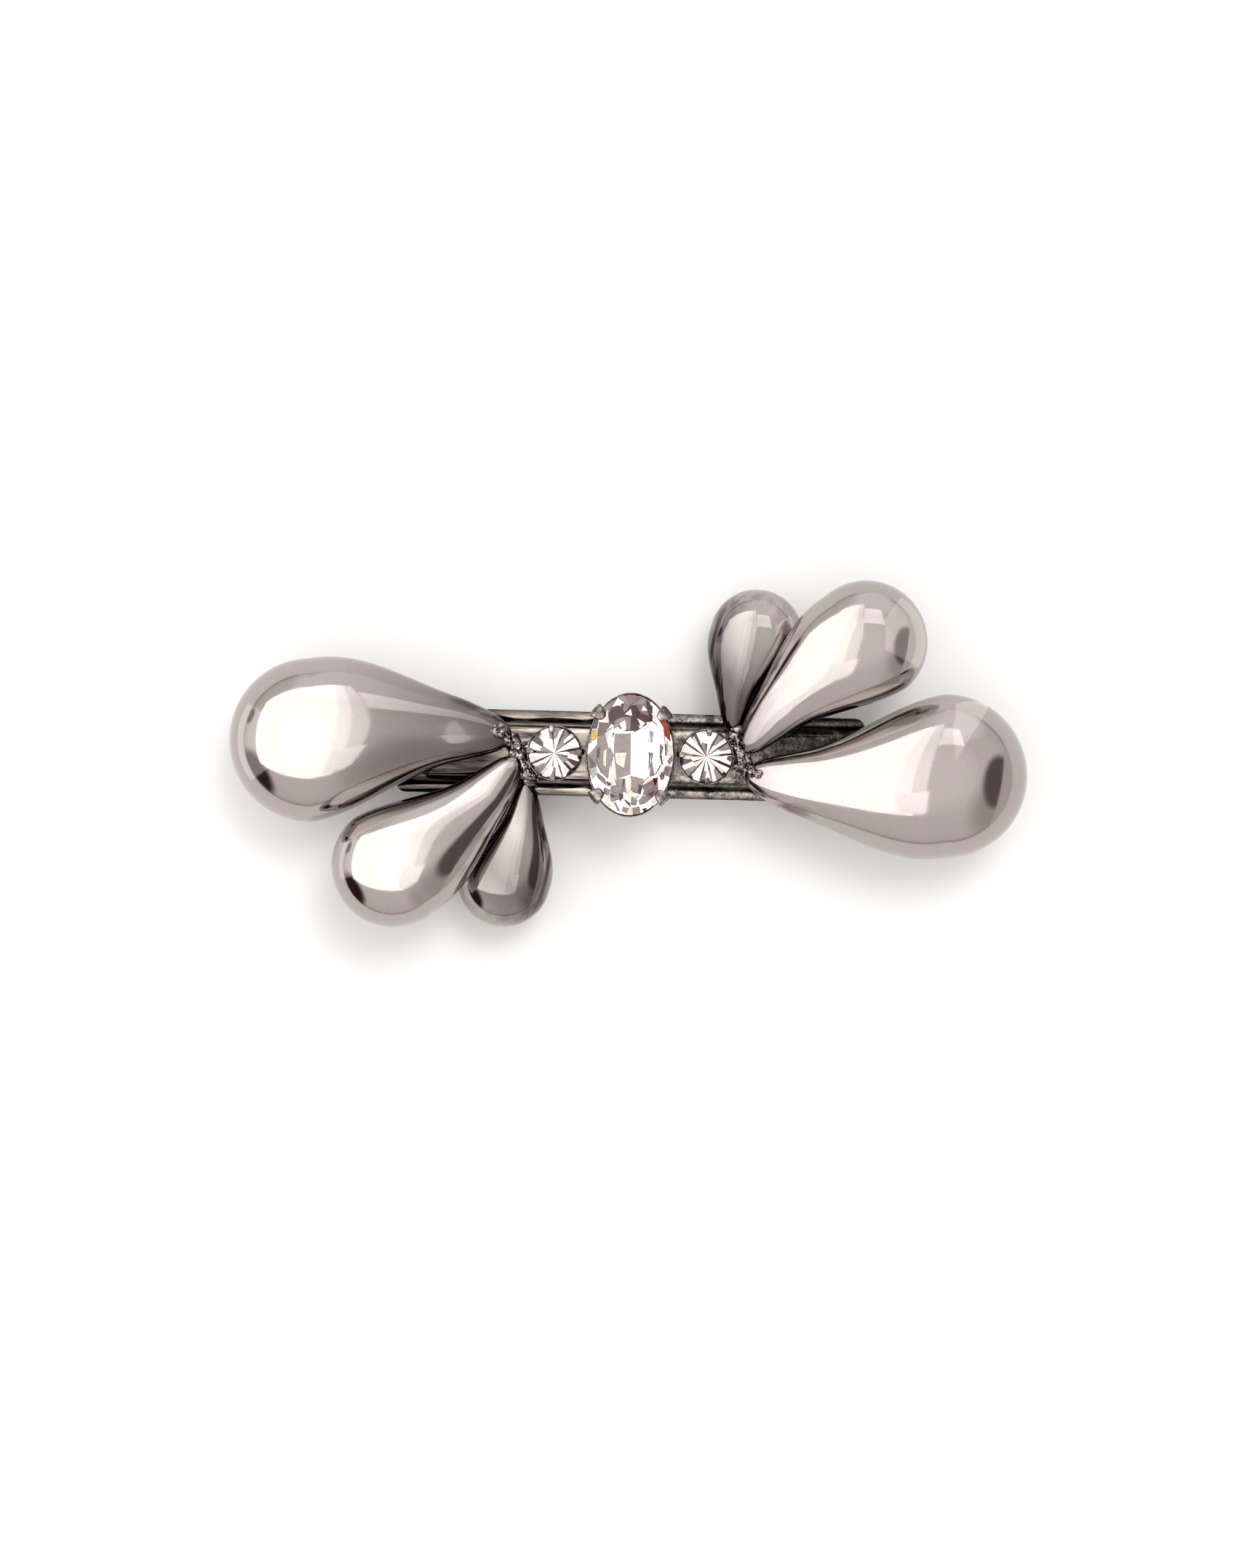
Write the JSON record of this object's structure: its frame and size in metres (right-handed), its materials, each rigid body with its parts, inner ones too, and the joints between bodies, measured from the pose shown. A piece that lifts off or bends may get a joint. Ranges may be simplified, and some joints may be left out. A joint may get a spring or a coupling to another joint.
{
  "type": "hair clip",
  "caption": "Barrette hair clip with mirror-bright hollow drops fanned out from a metal bar at both ends, cut stones in claw cups between them and a sprung lever clip behind.",
  "frame": {"origin": "under the middle of the oval stone, on the plane that the closed lever rests on", "axes": "+X along the bar from the hinge end to the clasp end, +Y across the bar, +Z out of the decorated face"},
  "size_m": [0.1155, 0.0518, 0.0202],
  "materials": {
    "mirror_chrome": "mirror plated, warm grey",
    "gunmetal": "dark nickel plate, part polished and part speckled",
    "cup_metal": "dark nickel plate",
    "solder": "bright plated solder, lumpy",
    "nickel": "nickel plated pressed steel",
    "spring_steel": "polished spring steel",
    "crystal": "clear cut crystal with a foiled back"
  },
  "bodies": {
    "clip": {"bar": "gunmetal", "hinge_pin": "nickel", "clasp_base": "nickel", "clasp_rivet": "nickel", "oval_setting": "cup_metal", "left_setting": "cup_metal", "right_setting": "cup_metal", "oval_stone": "crystal", "left_stone": "crystal", "right_stone": "crystal", "left_large_petal": "mirror_chrome", "left_medium_petal": "mirror_chrome", "left_small_petal": "mirror_chrome", "right_large_petal": "mirror_chrome", "right_medium_petal": "mirror_chrome", "right_small_petal": "mirror_chrome", "left_large_back": "mirror_chrome", "left_medium_back": "mirror_chrome", "left_small_back": "mirror_chrome", "right_large_back": "mirror_chrome", "right_medium_back": "mirror_chrome", "right_small_back": "mirror_chrome", "left_solder": "solder", "right_solder": "solder"},
    "lever": {"lever": "nickel"},
    "spring": {"tension_spring": "spring_steel"},
    "wing_front": {"clasp_wing_front": "nickel"},
    "wing_back": {"clasp_wing_back": "nickel"}
  },
  "joints": [
    {"name": "lever_hinge", "type": "hinge", "parent": "clip", "child": "lever", "pos_m": [-0.03, 0, 0.0032], "axis": [0, 1, 0], "range_deg": [0, 90]},
    {"name": "spring_flex", "type": "hinge", "parent": "clip", "child": "spring", "pos_m": [-0.03, 0, 0.0032], "axis": [0, 1, 0], "range_deg": [-2.2, 0], "stiffness_Nm_per_rad": 0.05},
    {"name": "wing_back_squeeze", "type": "hinge", "parent": "clip", "child": "wing_back", "pos_m": [0.0283, 0.0023, 0.0075], "axis": [-1, 0, 0], "range_deg": [0, 10], "stiffness_Nm_per_rad": 0.05},
    {"name": "wing_front_squeeze", "type": "hinge", "parent": "clip", "child": "wing_front", "pos_m": [0.0283, -0.0023, 0.0075], "axis": [1, 0, 0], "range_deg": [0, 10], "stiffness_Nm_per_rad": 0.05}
  ],
  "couplings": [
    {"joint": "wing_front_squeeze", "follows": "wing_back_squeeze", "ratio": 1}
  ]
}
